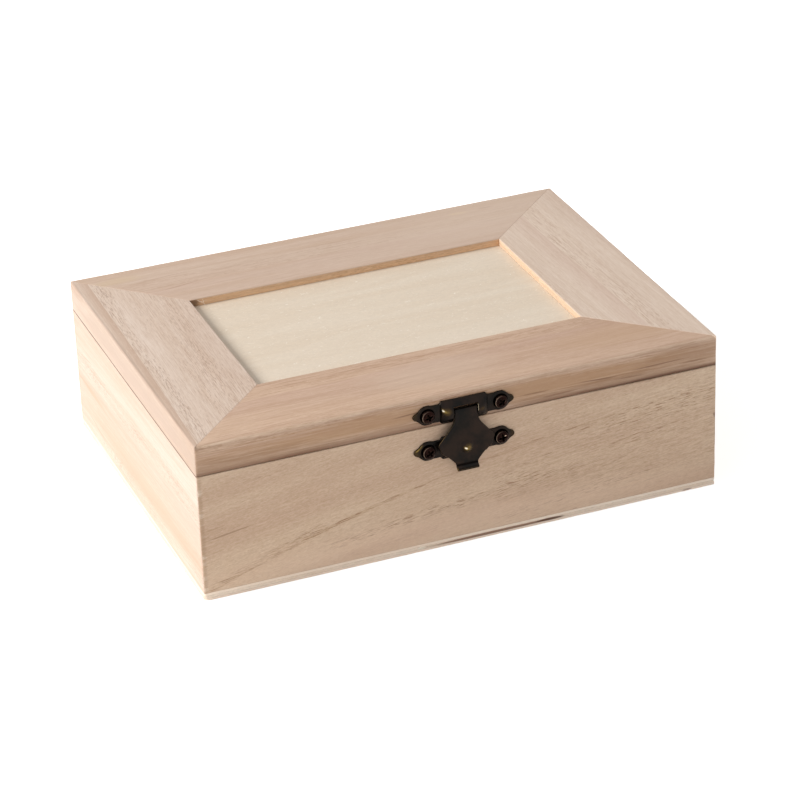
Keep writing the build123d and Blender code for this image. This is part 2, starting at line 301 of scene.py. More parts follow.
def paulownia(name, wood):
    # Sanded, unfinished paulownia: pale, matt and straight-grained. Each year's ring starts with a belt of
    # open pores that show as short brown dashes, and ends in smoother, pinker wood.
    material, add, inMm = startMaterial(name)
    axis = add("SeparateXYZ", [inMm], out=None)
    along, across, deep = (axis[letter] for letter in wood["axes"])
    # the grain leans and bends: across - along * (lean + bend * along)
    slope = add("Math", (along, wood["bend"], wood["lean"]), "MULTIPLY_ADD")
    drift = add("Math", (along, slope), "MULTIPLY")
    straight = add("Math", (across, drift), "SUBTRACT")
    shifted = add("Math", (along, wood["seed"] * 977.0), "ADD")      # far enough for other noise
    grain = add("CombineXYZ", (shifted, straight, deep))

    # noise drawn out along the grain: per mm along, per mm across, detail, roughness
    stretched = {
        "wander": (0.011, 0.035, 2.0, 0.5),
        "pores": (*wood["poreScale"], 1.5, 0.6),      # real pores are 0.2 mm wide, drawn twice that to show
        "fibre": (0.035, 1.5, 4.0, 0.65),
        "line": (*wood["lineScale"], 3.0, 0.6),       # rows of pores too fine to tell apart
        "hair": (*wood["hairScale"], 3.0, 0.65),      # loose fibres, drawn about twice as coarse as they are
        "tone": (0.007, 0.07, 2.0, 0.5),
        "streak": (0.010, 0.33, 3.0, 0.55),
        "fleck": (0.45, 3.6, 1.0, 0.5),
        "gather": (0.02, 0.16, 2.0, 0.5),             # where pores crowd
    }
    noise = {}
    for key, (perMmAlong, perMmAcross, detail, rough) in stretched.items():
        scaled = add("VectorMath", (grain, (perMmAlong, perMmAcross, perMmAcross)), "MULTIPLY")
        noise[key] = add("TexNoise", {"Vector": scaled, "Scale": 1.0, "Detail": detail, "Roughness": rough})

    # distance from the tree's middle, in rings
    pithAcross, pithDeep = wood["pith"]
    fromPith = add("VectorMath", (grain, (0, 1, 1), (0, -pithAcross, -pithDeep)), "MULTIPLY_ADD")
    radius = add("VectorMath", [fromPith], "LENGTH", out="Value")
    wander = add("Math", (noise["wander"], 2 * wood["wander"], radius), "MULTIPLY_ADD")
    ringStart = wood["ringStart"] - wood["wander"] / wood["ringWidth"]
    ring = add("Math", (wander, 1 / wood["ringWidth"], ringStart), "MULTIPLY_ADD")
    phase = add("Math", [ring], "FRACT")

    wearAndPaintedLight = add("Attribute", out="Fac", attribute_name="wearAndPaintedLight")
    # each share of the surface is a smooth step of one value: from, to, share at from, share at to
    steps = {
        "begins": (phase, 0.0, wood["edge"], 0.0, wood["beltShare"]),
        "ends": (phase, wood["belt"], wood["belt"] * 2.2, 1.0, 0.0),
        "late": (phase, wood["lateFrom"], 1.0, 0.0, wood["lateShare"]),
        "tone": (noise["tone"], 0.32, 0.68, 0.0, 1.0),
        "streak": (noise["streak"], 0.47, 0.66, 0.0, wood["streakShare"]),
        "line": (noise["line"], 0.50, 0.64, 0.0, wood["lineShare"]),
        "fleck": (noise["fleck"], 0.62, 0.74, 0.0, wood["fleckShare"]),
        "fibre": (noise["fibre"], 0.25, 0.75, 1 - wood["fibre"], 1 + wood["fibre"]),
        "hair": (noise["hair"], 0.25, 0.75, 1 - wood["hair"], 1 + wood["hair"]),
        "gather": (noise["gather"], 0.40, 0.66, 0.28, 1.0),
        "sanded": (wearAndPaintedLight, 0.0, 1.0, 0.0, wood["sanded"]),
        "seam": (wearAndPaintedLight, -1.0, 0.0, 0.8, 0.0),      # painted shade in the joint between lid and walls
    }
    share = {key: add("MapRange", values, "SMOOTHSTEP") for key, values in steps.items()}

    belt = add("Math", (share["begins"], share["ends"]), "MULTIPLY")
    stain = 0.0
    for height, lean, bend, thick, start, end, crowding, stained in wood["poreLines"]:
        # pores crowd near one bent line, height + along * (lean + bend * along), and fade out at its ends
        lineSlope = add("Math", (along, bend, lean), "MULTIPLY_ADD")
        line = add("Math", (along, lineSlope, height), "MULTIPLY_ADD")
        line = add("Math", (noise["gather"], wood["lineWave"], line), "MULTIPLY_ADD")
        off = add("Math", [add("Math", (across, line), "SUBTRACT")], "ABSOLUTE")
        near = add("MapRange", (off, thick * 0.4, thick, crowding, 0.0))
        fade = wood["lineFade"]
        for ramp in ((start, start + fade, 0.0, 1.0), (end - fade, end, 1.0, 0.0)):
            near = add("Math", (near, add("MapRange", (along, *ramp))), "MULTIPLY")
        belt = add("Math", (belt, near), "MAXIMUM")
        darker = add("Math", (near, stained), "MULTIPLY")
        stain = add("Math", (darker, stain), "MAXIMUM")
    stain = add("Math", (stain, share["gather"]), "MULTIPLY")

    # pores are the peaks of their noise, most of them in the belt
    peak = add("Math", (belt, wood["poreGather"], noise["pores"]), "MULTIPLY_ADD")
    poreTo = wood["poreFrom"] + wood["poreSoft"]
    pores = add("MapRange", (peak, wood["poreFrom"], poreTo, 0.0, wood["poreShare"]), "SMOOTHSTEP")
    crowd = add("Math", (belt, 1 - wood["strayPores"], wood["strayPores"]), "MULTIPLY_ADD")
    crowd = add("Math", (crowd, share["gather"]), "MULTIPLY")
    pores = add("Math", (pores, crowd), "MULTIPLY", use_clamp=True)
    lined = add("Math", (belt, 0.7, 0.3), "MULTIPLY_ADD", use_clamp=True)
    lined = add("Math", (share["line"], lined), "MULTIPLY")

    colour = linear(wood["pale"])
    layers = [(share["tone"], "warm"), (share["late"], "late"), (share["streak"], "streak"), (stain, "stain"),
              (lined, "line"), (share["fleck"], "fleck"), (share["sanded"], "fleck")]
    for layer, tint in layers:
        colour = add("Mix", {0: layer, 6: colour, 7: linear(wood[tint])}, "RGBA", out=2)
    fibres = add("Math", (share["fibre"], share["hair"]), "MULTIPLY")
    # darker fibres are redder
    shade = add("VectorMath", (fibres, (0.7, 0.95, 1.25), (0.3, 0.05, -0.25)), "MULTIPLY_ADD")
    colour = add("VectorMath", (colour, shade), "MULTIPLY")
    colour = add("Mix", {0: pores, 6: colour, 7: linear(wood["pore"])}, "RGBA", out=2)
    for spot, size, strength, tint, *tilt in wood["marks"]:      # patches with edges that follow the fibres
        turned = add("Mapping", (inMm, spot, tilt[0] if tilt else (0, 0, 0), size), "TEXTURE")
        away = add("VectorMath", [turned], "LENGTH", out="Value")
        ragged = add("Math", (noise["fibre"], 1.1, away), "MULTIPLY_ADD")
        inside = add("MapRange", (ragged, 0.9, 1.55, strength, 0.0), "SMOOTHSTEP")
        colour = add("Mix", {0: inside, 6: colour, 7: linear(tint)}, "RGBA", out=2)
    # painted shade along the joint between lid and walls
    colour = add("Mix", {0: share["seam"], 6: colour, 7: linear(wood["jointShade"])}, "RGBA", out=2)

    raised = add("Math", (noise["hair"], 0.5), "MULTIPLY")
    height = add("Math", (raised, pores), "SUBTRACT")
    bump = add("Bump", {"Height": height, "Strength": 1.0, "Distance": wood["relief"] * mm})
    inputs = {"Base Color": colour, "Normal": bump, "Roughness": 0.70, "Specular IOR Level": 0.3}
    return finishMaterial(material, inputs)


woodBase = {
    "axes": "XYZ",              # along the grain, across it and into the board
    "seed": 0,
    "lean": 0.0,
    "bend": 0.0,
    "pith": (-90.0, -40.0),     # the tree's middle, across and into the board
    "ringWidth": 22.0,
    "ringStart": 0.0,
    "wander": 2.0,              # mm that a ring strays
    "edge": 0.03,               # how much of a ring its belt of pores takes to begin
    "belt": 0.22,               # how much of a ring the belt takes up
    "lateFrom": 0.55,           # where in a ring the late wood begins
    "beltShare": 1.0,           # each share is how strongly its pattern or colour shows
    "lateShare": 0.5,
    "poreScale": (0.42, 3.0),   # per mm along and across
    "poreFrom": 0.58,           # how high the noise rises before a pore begins
    "poreSoft": 0.09,           # and how much higher to its full darkness
    "poreGather": 0.05,
    "poreShare": 0.45,
    "strayPores": 0.22,
    "poreLines": [],            # height, lean, bend, thickness, start, end, crowding, stain
    "lineWave": 1.6,            # mm that a pore line strays
    "lineFade": 6.0,
    "streakShare": 0.3,
    "lineShare": 0.2,
    "lineScale": (0.03, 1.1),
    "fibre": 0.06,
    "hair": 0.09,
    "hairScale": (0.24, 2.4),
    "fleckShare": 0.20,
    "sanded": 0.08,
    "relief": 0.05,
    "marks": [],                # middle, half size, strength, tint and, where it is turned, its tilt
    "pale": "#DCCAB7",
    "warm": "#D5BEA9",
    "late": "#CFB4A4",
    "streak": "#C3A68D",
    "line": "#B2917A",
    "fleck": "#EFE2D2",
    "pore": "#A07A5A",
    "stain": "#A5825F",
    # the colour of the painted shade in the joint
    "jointShade": "#552A10",
}

woods = {
    "lid_left_stile": {
        "axes": "YXZ", "seed": 1, "lean": 0.0233, "bend": -0.000082, "pith": (-4000.0, 0.0),
        "ringWidth": 60.0, "ringStart": -((4000 - 95.5) / 60.0) % 1.0, "wander": 0.35, "edge": 0.006,
        "belt": 0.06, "lateFrom": 0.90, "lateShare": 1.0, "poreScale": (0.33, 2.9), "strayPores": 0.08,
        "poreShare": 0.5, "streakShare": 0.12, "lineShare": 0.55, "lineScale": (0.09, 2.6), "hair": 0.06,
        "sanded": 0.03, "pale": "#DDCABB", "warm": "#D8C4B4", "late": "#C7AD9A", "pore": "#94755F",
        "line": "#B59782", "stain": "#CDB19C",
        "poreLines": [(-67.0, 0.05, -0.0004, 26.0, -90, 90, 1.0, 0.4)],
        "marks": [
            ((-100.6, 0, 55.5), (1.7, 130, 8), 0.8, "#C9B4A5"),
            ((-99.7, 0, 61.5), (1.2, 120, 0.9), 0.4, "#A68C7C"),
            ((-100, 68, 60.6), (2, 16, 2.6), 0.4, "#B2937E"),
            ((-69, -4, 61.5), (9, 70, 30), 0.25, "#C4AB99"),
        ],
    },
    "lid_back_rail": {
        "axes": "XYZ", "seed": 2, "lean": 0.01, "lineShare": 0.3, "strayPores": 0.05, "poreShare": 0.3,
        "fleckShare": 0.12, "streakShare": 0.35, "hair": 0.06, "pale": "#CFB8A6", "warm": "#CCB3A1",
        "late": "#C9AE9D",
        "marks": [
            ((69, 67.5, 61.5), (4.5, 0.6, 30), 0.55, "#A98B74", (0, 0, 0.02)),
            ((57, 67, 61.5), (5.5, 1.6, 30), 0.35, "#DCC6A0"),
            ((75, 58, 61.5), (75, 22, 30), 0.4, "#DAC5B4"),
            ((-84, 66, 61.5), (14, 3.5, 30), 0.35, "#CDB491", (0, 0, 0.04)),
            ((-62, 52, 61.5), (11, 0.5, 30), 0.5, "#AD8B78", (0, 0, 0.16)),
            ((-66, 62, 61.5), (15, 0.45, 30), 0.4, "#AD8B78", (0, 0, 0.10)),
        ],
    },
    "lid_right_stile": {
        "axes": "YXZ", "seed": 3, "lean": -0.02, "streakShare": 0.10, "lineShare": 0.35,
        "lineScale": (0.10, 2.2), "hair": 0.06, "poreScale": (0.33, 2.9), "pale": "#DFCBBA",
        "warm": "#D8C3B2",
    },
    "lid_front_rail": {
        "axes": "XYZ", "seed": 4, "lean": 0.015, "ringWidth": 11.0, "streakShare": 0.26, "lineShare": 0.5,
        "lineScale": (0.06, 1.6), "sanded": 0.30, "pale": "#D0B29A", "warm": "#CAAC96", "late": "#C2A290",
        "streak": "#B08C74", "line": "#A5806A", "fleck": "#F0DCC2",
        "marks": [
            ((0, -74, 56), (140, 3, 5), 0.6, "#B08862"),
            # these three are painted shade: the front face gets darker towards its foot above the joint
            ((-34, -74, 50.6), (60, 3, 3.6), 0.4, "#7E583E", (0, -0.02, 0)),
            ((-84, -74, 52), (44, 3, 5), 0.42, "#8A6446"),
            ((60, -74, 50.8), (66, 3, 4.6), 0.45, "#80593D"),
            ((88, -74, 56.4), (26, 3, 5.4), 0.3, "#8F6B50"),
            ((28, -74, 54.2), (8, 3, 0.45), 0.5, "#7A563E", (0, 0.02, 0)),
            ((37, -74, 51.8), (10, 3, 0.5), 0.5, "#7A563E", (0, -0.02, 0)),
            ((52.7, -74, 54.1), (9, 3, 0.55), 0.65, "#7A563E", (0, 0.04, 0)),
            ((65, -74, 52.5), (7, 3, 0.4), 0.45, "#7A563E", (0, 0.03, 0)),
            ((75.7, -74, 55), (13, 3, 0.5), 0.6, "#7A563E", (0, -0.02, 0)),
            ((91, -74, 53.3), (7, 3, 0.4), 0.45, "#7A563E", (0, 0.02, 0)),
            # painted shade along the joint below the lid
            ((74, -74, 50), (44, 3, 1.3), 0.5, "#4A2C1A"),
            ((-20, -74, 56.4), (9, 3, 0.4), 0.6, "#6F4F3C", (0, -0.06, 0)),
            ((70, -56, 61.5), (40, 12, 30), 0.45, "#C09F82"),
            ((-4, -56, 61.5), (34, 14, 30), 0.3, "#D6C2B0"),
        ],
    },
    "front_wall": {
        "axes": "XZY", "seed": 5, "lean": 0.13, "bend": -0.0002, "pith": (-4000.0, 0.0), "ringWidth": 13.0,
        "ringStart": -(4030 / 13.0) % 1.0, "wander": 1.6, "beltShare": 0.0, "lateShare": 0.0, "sanded": 0.6,
        "poreScale": (0.20, 3.0), "strayPores": 0.36, "poreFrom": 0.60, "poreGather": 0.10,
        "poreShare": 0.85, "streakShare": 0.08, "lineShare": 0.5, "lineScale": (0.2, 2.6), "hair": 0.12,
        "hairScale": (0.85, 2.4), "fibre": 0.07, "pale": "#D6BDA4", "warm": "#CAAD95", "pore": "#835230",
        "line": "#B3917A", "stain": "#A27848",
        "poreLines": [
            (29.6, 0.1876, -0.000884, 1.0, -110, -30, 0.85, 0.28),
            (29.6, 0.1876, -0.000884, 0.85, -36, 34, 0.8, 0.24),
            (29.6, 0.1876, -0.000884, 0.9, 28, 110, 0.62, 0.12),
            (30.6, 0.1876, -0.000884, 2.6, -99, -52, 0.7, 0.10),
            (29.4, 0.1876, -0.000884, 2.2, 52, 99, 0.6, 0.05),
            (16.0, 0.115, 0.0, 2.6, -58, 98, 0.7, 0.0),
            (8.5, 0.08, 0.0, 2.2, -50, -6, 0.75, 0.0),
            (8.8, 0.08, 0.0, 2.2, 60, 96, 0.7, 0.0),
            (14.0, 0.13, 0.0, 26.0, 8, 112, 0.55, 0.0),
        ],
        "marks": [
            # painted light: the lower face is paler to stand in for bounce light from the floor
            ((0, -74, 4), (130, 30, 15), 0.40, "#F0D5BF"),
            ((-94.5, -74, 28.1), (5, 30, 0.35), 0.4, "#A5825F", (0, -0.14, 0)),
            ((-89.2, -74, 25.2), (10, 30, 0.45), 0.5, "#8F6E52", (0, -0.15, 0)),
            # painted shade: a darker strip along the near left corner
            ((-99.3, -74, 26), (1.5, 30, 40), 0.35, "#A27F62"),
            ((99.8, -74, 24), (0.45, 30, 24), 0.5, "#7E6048"),
            ((99.7, -74, 29.6), (1.2, 30, 1.5), 0.75, "#6A4C38"),
            # painted shade along the joint under the lid
            ((74, -74, 49.8), (44, 30, 0.8), 0.2, "#6B4E3A"),
        ],
    },
    "left_wall": {
        "axes": "YZX", "seed": 6, "lean": -0.03, "hair": 0.05, "sanded": 0.0, "pale": "#E1D0C2",
        "warm": "#DEC7B6", "late": "#DBC1B1", "streak": "#D0B299", "line": "#C09E85",
        "marks": [
            ((-100, 52, 22.4), (30, 24, 1.4), 0.5, "#D6B296", (0.02, 0, 0)),
            ((-100, 60, 34.7), (30, 10, 0.35), 0.5, "#C5A186", (-0.14, 0, 0)),
            ((-100, 50, 9), (30, 20, 0.5), 0.4, "#CCA88C", (0.13, 0, 0)),
            ((-100, -10, 13), (30, 120, 7), 0.5, "#DCB69E"),
        ],
    },
    "back_wall": {"axes": "XZY", "seed": 7, "lean": 0.04},
    "right_wall": {"axes": "YZX", "seed": 8, "lean": 0.05},
}
woodMaterials = {name: paulownia("paulownia_" + name, {**woodBase, **wood}) for name, wood in woods.items()}

# the sawn edge round the lid's window, rougher than the sanded faces
sawnAlong = {
    **woodBase, "axes": "XZY", "seed": 9, "fibre": 0.08, "hair": 0.11, "relief": 0.10, "poreShare": 0.5,
    "poreFrom": 0.53, "strayPores": 0.8, "pale": "#ECC7A0", "warm": "#E3B891", "late": "#D1A98A",
    "pore": "#A07C58",
    # the dark mark is painted shadow in the window's far left corner
    "marks": [((-63.4, 38, 60.4), (4.4, 2, 3), 0.75, "#5E4433", (0, 0.5, 0))],
}
sawnAcross = {
    **sawnAlong, "axes": "YZX", "hair": 0.08, "relief": 0.05, "poreShare": 0.3, "poreFrom": 0.60,
    "pale": "#F0D5B9", "warm": "#EACDB1", "late": "#E3C5A9", "marks": [],
}
sawnWood = {"along": paulownia("paulownia_sawn_along", sawnAlong),
            "across": paulownia("paulownia_sawn_across", sawnAcross)}
print("wood materials made")

# walls and lid frame, all in mm

box = {
    "width": 200.0,
    "depth": 148.0,
    "cornerRound": 0.8,
    "cornerWave": 0.12,      # how much sanding varies the radius of the upright corners
    "mitreDip": 0.09,        # how far the faces dip where two mitred pieces meet
    "mitreReach": 0.3,
    "innerEase": 0.4,        # round-over of the window's edge
    "stickWidths": {"front": 36.0, "right": 37.7, "back": 36.0, "left": 36.0},
    "wallThickness": 8.0,
    # splits down the near left corner: height, depth and spread
    "tears": [(0.6, 1.5, 1.1), (4.6, 0.9, 0.8), (9.2, 0.8, 1.0), (12.4, 0.5, 0.6), (14.9, 0.9, 0.8),
              (17.6, 1.0, 0.9), (26.0, 0.4, 0.8), (30.7, 0.5, 0.6), (34.2, 0.8, 1.2), (43.3, 0.9, 1.5)],
    "fray": 0.15,
    "tornBelow": 49.8,       # the lid above it is whole
}
# The wave is how much hand sanding varies the top's round-over, the joint shade is how dark the painted shade
# in the joint is, and the groove is given by its foot, top and depth.
boards = {
    "wall": {"foot": 3.0, "top": 49.75, "topRound": 0.2, "footRound": 0.3, "wave": 0.1, "groove": (),
             "jointShade": 0.8, "jointShadeReach": 0.25},
    "stick": {"foot": 49.9, "top": 61.5, "topRound": 0.5, "footRound": 0.3, "wave": 0.1,
              "groove": (55.5, 58.6, 5.0), "jointShade": 0.9, "jointShadeReach": 0.9},
}
frontBoards = {      # what differs at the front, where the painted shade along the joint on the wall's wood is in its own marks
    "wall": {"jointShade": 0.0},
    "stick": {"topRound": 1.7, "footRound": 0.35, "wave": 0.15, "jointShade": 0.8, "jointShadeReach": 2.4},
}


def tornDepth(x, y, z):
    # How far in from the near left corner its edge is split off: every tear's depth * exp(-(height off /
    # spread)^4), a fifth of it uneven, and fine fraying all along.
    torn = sum(depth * np.exp(-((z - height) / spread) ** 4) for height, depth, spread in box["tears"])
    torn = torn * (0.8 + 0.2 * wobble(z, 0.5, 12)) + box["fray"] * wobble(z, 0.7, 13)
    return np.where((x < 0) & (y < 0) & (z < box["tornBelow"]), torn, 0)


def roundCorners(points):
    # Splits are cut slantwise, and points outside the rounded rectangle are drawn straight back onto its arc.
    x, y, z = np.moveaxis(points, -1, 0)
    halfX, halfY = box["width"] / 2, box["depth"] / 2
    fromFaces = halfX - np.abs(x) + halfY - np.abs(y)
    cut = np.clip(tornDepth(x, y, z) - fromFaces, 0, None) / 2
    x, y = x - np.sign(x) * cut, y - np.sign(y) * cut
    radius = box["cornerRound"] + box["cornerWave"] * wobble(z, 3.0, 11)
    overX, overY = np.abs(x) - (halfX - radius), np.abs(y) - (halfY - radius)
    reach = np.hypot(overX, overY)
    outside = (overX > 0) & (overY > 0) & (reach > radius)
    shrink = np.where(outside, radius / np.maximum(reach, 1e-9) - 1, 0)
    return np.stack([x + np.sign(x) * overX * shrink, y + np.sign(y) * overY * shrink, z], axis=-1)


def boardSection(width, board):
    # Section as (distance in from the outer face, height), once round from the outer foot, and its outward
    # normals. The outer face has the most points, because its edge is torn.
    foot, top, footRound, topRound = (board[key] for key in ("foot", "top", "footRound", "topRound"))
    ease = box["innerEase"]
    groove = []
    if board["groove"]:
        low, high, depth = board["groove"]
        back = width - depth
        groove = [(width, high + 1.4), (width, high), (back, high), (back, low), (width, low)]
    faceHeights = np.linspace(foot + footRound + 0.1, top - topRound - 0.1, 110)
    topInsets = np.linspace(topRound + 0.3, width - ease - 0.3, 20)
    section = np.concatenate([
        arc((footRound, foot + footRound), footRound, 270, 180, 8),
        np.stack([np.zeros(110), faceHeights], axis=-1),
        arc((topRound, top - topRound), topRound, 180, 90, 14),
        np.stack([topInsets, np.full(20, top)], axis=-1),
        arc((width - ease, top - ease), ease, 90, 0, 6),
        [(width, top - ease - 0.1), *groove, (width, foot + 0.05), (width - 0.05, foot), (2.4, foot)]])
    tangent = np.roll(section, -1, axis=0) - np.roll(section, 1, axis=0)
    tangent /= np.linalg.norm(tangent, axis=1)[:, None]
    return section, np.stack([-tangent[:, 1], tangent[:, 0]], axis=-1)


def mitredBoard(name, turn, width, slopes, board, body):
    # The section is carried along its side of the box, each of its points as far as the mitres let it go.
    # The slopes say how far each end's mitre runs along the side for each mm in from the face.
    # Near the mitre every face dips a little, and the top's round-over varies along its length.
    half, reach = box["width"] / 2, box["depth"] / 2
    if turn % 180:
        half, reach = reach, half
    foot, top, topRound = board["foot"], board["top"], board["topRound"]
    section, normal = boardSection(width, board)
    inset, height = section.T
    outer = 2 * half
    # closer together at the mitres
    near = np.array([0, 0.05, 0.12, 0.2, 0.3, 0.45, 0.65, 0.9, 1.2, 1.6, 2.2, 2.8])
    stations = np.concatenate([near, np.linspace(3.5, outer - 3.5, 64), outer - near[::-1]]) / outer
    length = outer - inset * sum(slopes)
    run = length * stations[:, None]
    x = run - half + inset * slopes[0]
    fromMitre = np.minimum(run, length - run)
    dip = box["mitreDip"] * np.clip(1 - fromMitre / box["mitreReach"], 0, 1) ** 2
    roundOver = step(height, top - topRound - 0.2, top - 0.5 * topRound)
    roundOver = roundOver * (1 - step(inset, 0.5 * topRound, topRound + 0.2))
    dip = dip + board["wave"] / 2 * (1 + wobble(x, 9.0, 20 + turn)) * roundOver
    y = -reach + inset - dip * normal[:, 0]
    z = height - dip * normal[:, 1]
    angle = math.radians(turn)
    x, y = x * math.cos(angle) - y * math.sin(angle), x * math.sin(angle) + y * math.cos(angle)
    if body == "lid":      # rubbed along the middle of the round-over, with painted shade along the joint
        ridge = np.hypot(inset - 0.29 * topRound, height - top + 0.29 * topRound)
        rubbed = bell(ridge, 0.3 * topRound) * (0.75 + 0.25 * wobble(run, 2.0, 31))
        jointShade = board["jointShade"] * np.clip(1 - (height - foot) / board["jointShadeReach"], 0, 1) ** 1.2 * (inset < 2)
        wearAndPaintedLight = rubbed - jointShade * (0.85 + 0.15 * wobble(run, 20.0, 32))
    else:                  # pale where it is torn, with painted shade along its top
        toCorner = np.hypot(x + box["width"] / 2, y + box["depth"] / 2)
        bare = np.clip(tornDepth(x, y, z), 0, 1) * (1 - step(toCorner, 1.0, 2.4))
        jointShade = board["jointShade"] * step(height, top - board["jointShadeReach"], top - 0.05)
        wearAndPaintedLight = bare - jointShade * (inset < 0.4)
    shell = closedLoft(roundCorners(np.stack([x, y, z], axis=-1)), wearAndPaintedLight)
    if board["groove"]:      # the sawn edge round the window takes the second material
        edge = (inset > width - 0.02) & (height > board["groove"][1] - 0.01)
        shell["picks"][:-2] = np.tile(edge & np.roll(edge, -1), len(stations) - 1)
    sawn = sawnWood["across" if turn % 180 else "along"]
    makePiece(name + "_board", [shell], [woodMaterials[name], sawn], body, [name], sharp=40)


sides = ("front", "right", "back", "left")
widths = box["stickWidths"]
for index, side in enumerate(sides):
    changes = frontBoards if side == "front" else {"wall": {}, "stick": {}}
    wall, stick = ({**boards[kind], **changes[kind]} for kind in ("wall", "stick"))
    mitredBoard(side + "_wall", 90 * index, box["wallThickness"], (1, 1), wall, "box")
    name = "lid_" + side + ("_stile" if index % 2 else "_rail")
    slopes = [widths[neighbour] / widths[side] for neighbour in (sides[index - 1], sides[(index + 1) % 4])]
    mitredBoard(name, 90 * index, widths[side], slopes, stick, "lid")
print("walls and lid frame made")

# bottom and panel


def veneer(name, ply):
    # Thin plywood veneer: pale and matt, with fine broken grain and small light flecks.
    material, add, inMm = startMaterial(name)
    noise = {}
    for key, (scale, detail, rough) in ply["noises"].items():
        scaled = add("VectorMath", (inMm, scale), "MULTIPLY")
        inputs = {"Vector": scaled, "Scale": 1.0, "Detail": detail, "Roughness": rough}
        noise[key] = add("TexNoise", {**inputs, "Distortion": ply["twist"]})
    # as for the solid wood: a value, from, to, share at from, share at to
    steps = {
        "tone": (noise["tone"], 0.3, 0.7, 0.0, 1.0),
        "grain": (noise["grain"], 0.25, 0.75, 1 - ply["grain"], 1 + ply["grain"]),
        "fleck": (noise["fleck"], 0.60, 0.72, 0.0, ply["fleckShare"]),
        "dark": (noise["dark"], 0.60, 0.74, 0.0, ply["darkShare"]),
    }
    share = {key: add("MapRange", values, "SMOOTHSTEP") for key, values in steps.items()}
    colour = add("Mix", {0: share["tone"], 6: linear(ply["pale"]), 7: linear(ply["warm"])}, "RGBA", out=2)
    colour = add("VectorMath", {0: colour, "Scale": share["grain"]}, "SCALE")
    layers = [(share["fleck"], ply["fleck"]), (share["dark"], ply["dark"])]
    for spot, size, strength, tint in ply["marks"]:
        centred = add("Mapping", {"Vector": inMm, "Location": spot, "Scale": size}, "TEXTURE")
        away = add("VectorMath", [centred], "LENGTH", out="Value")
        layers.append((add("MapRange", (away, 0.7, 1.1, strength, 0.0), "SMOOTHSTEP"), tint))
    for layer, tint in layers:
        colour = add("Mix", {0: layer, 6: colour, 7: linear(tint)}, "RGBA", out=2)
    bump = add("Bump", {"Height": noise["grain"], "Strength": 1.0, "Distance": ply["relief"] * mm})
    inputs = {"Base Color": colour, "Normal": bump, "Roughness": 0.66, "Specular IOR Level": 0.3}
    return finishMaterial(material, inputs)


veneerBase = {
    "noises": {                               # per mm along X, Y and Z, detail, roughness
        "tone": ((0.007, 0.07, 0.07), 3.0, 0.55),
        "grain": ((0.16, 2.2, 2.2), 4.0, 0.6),
        "fleck": ((0.35, 1.5, 1.5), 2.0, 0.6),
        "dark": ((0.25, 2.6, 2.6), 2.0, 0.6),
    },
    "twist": 0.0,
    "grain": 0.03,
    "fleckShare": 0.35,
    "darkShare": 0.12,
    "marks": [],                              # middle, half size, strength and tint
    "relief": 0.03,
    "pale": "#E5D6C2",
    "warm": "#E1D0BA",
    "fleck": "#F3E9DA",
    "dark": "#BFA587",
}
panelVeneer = veneer("poplar_veneer_panel", {
    **veneerBase, "twist": 1.2, "grain": 0.045, "fleckShare": 0.85, "darkShare": 0.08,
    "pale": "#E3D5C3", "warm": "#DFCFBB", "fleck": "#F7EEE2",
    "noises": {
        "tone": ((0.010, 0.09, 0.09), 3.0, 0.55),
        "grain": ((0.5, 0.8, 0.8), 4.0, 0.7),
        "fleck": ((0.50, 0.70, 0.70), 3.0, 0.75),
        "dark": ((0.25, 2.6, 2.6), 2.0, 0.6),
    },
})
faceVeneer = veneer("poplar_veneer_face", {
    **veneerBase, "pale": "#FFF2E3", "warm": "#FBE9D7",
    "marks": [((0, 0, 0), (300, 300, 0.9), 0.4, "#F4E0D2"),
              ((88.5, -74, 0.6), (2.2, 1.5, 0.35), 0.6, "#8F6E60")],
})
coreVeneer = veneer("poplar_veneer_core", {
    **veneerBase, "grain": 0.08, "fleckShare": 0.1, "darkShare": 0.3,
    "pale": "#F4E5D5", "warm": "#EDDAC7", "dark": "#D6BCA4",
    "noises": {
        "tone": ((0.05, 0.05, 0.4), 2.0, 0.5),
        "grain": ((1.2, 1.2, 3.0), 3.0, 0.6),
        "fleck": ((0.5, 0.5, 2.0), 2.0, 0.5),
        "dark": ((0.8, 0.8, 2.4), 2.0, 0.6),
    },
    "marks": [((0, 0, 2.12), (300, 300, 0.16), 0.55, "#A98E78"),
              ((0, 0, 0.83), (300, 300, 0.12), 0.4, "#B49A86"),
              ((-17.2, -74, 1.4), (2, 3, 0.5), 0.8, "#FFF6E8"),
              ((12, -74, 1.35), (27, 3, 0.55), 0.8, "#7E5540"),
              ((33, -74, 1.4), (6, 3, 0.55), 0.8, "#573526")],
})

bottom = {
    "plies": [(0.0, 0.85, 0.0), (0.85, 2.1, 0.12), (2.1, 3.0, 0.02)],      # foot, top, set back at the edge
    "corner": 0.8,
    "spacing": 0.8,          # between points round the edge
    "ease": 0.12,
    "waver": (0.04, 0.03),   # how far the sawn edge strays, slowly and quickly
    # chips out of the front edge: x, height, spread and depth
    "chips": [(-16.0, 1.6, 1.6, 0.8), (48.0, 2.2, 2.5, 0.25), (-70.0, 0.9, 3.0, 0.2)],
}


def rectangleOutline(inset, radius, spacing):
    # Once round a rounded rectangle, as points and outward normals.
    halfX, halfY = box["width"] / 2 - inset, box["depth"] / 2 - inset
    corners = [(1, 1), (-1, 1), (-1, -1), (1, -1)]
    middles = [np.array([signX * (halfX - radius), signY * (halfY - radius)]) for signX, signY in corners]
    parts, normals = [], []
    for corner, middle in enumerate(middles):
        turn = arc(middle, radius, 90 * corner, 90 * corner + 90, 9)
        outward = (turn - middle) / radius
        straight = middles[(corner + 1) % 4] + outward[-1] * radius - turn[-1]
        count = int(np.linalg.norm(straight) / spacing)
        parts += [turn, turn[-1] + straight * np.linspace(0, 1, count + 1)[1:-1, None]]
        normals += [outward, np.tile(outward[-1], (count - 1, 1))]
    return np.concatenate(parts), np.concatenate(normals)


